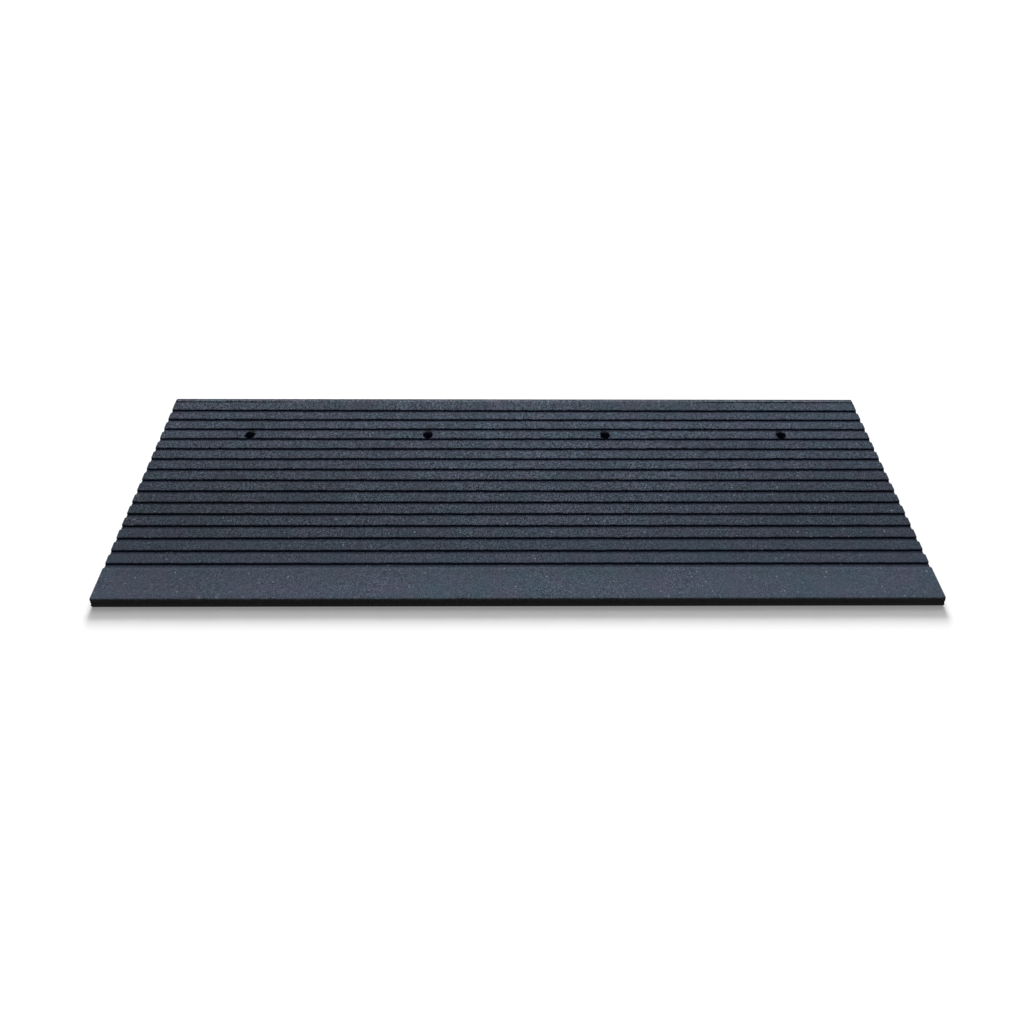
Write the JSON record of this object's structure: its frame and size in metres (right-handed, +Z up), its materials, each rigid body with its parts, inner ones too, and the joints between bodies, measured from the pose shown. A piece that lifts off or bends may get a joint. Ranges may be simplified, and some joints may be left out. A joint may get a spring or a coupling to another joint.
{
  "type": "curb ramp",
  "caption": "Low rubber wedge ramp with a cross-ribbed tread, plain toe strip, drained underside and fixing holes with moulded-in steel washers.",
  "frame": {"origin": "on the floor, under the middle of the ramp", "axes": "+X along the width, +Y from the low toe to the high back face, +Z up"},
  "size_m": [0.9, 0.36, 0.045],
  "materials": {
    "rubber": "matt, finely granular moulded rubber, dark slate blue",
    "washer_steel": "zinc plated, satin"
  },
  "bodies": {
    "root": {"ramp_body": "rubber", "washer_1": "washer_steel", "washer_2": "washer_steel", "washer_3": "washer_steel", "washer_4": "washer_steel"}
  },
  "joints": []
}
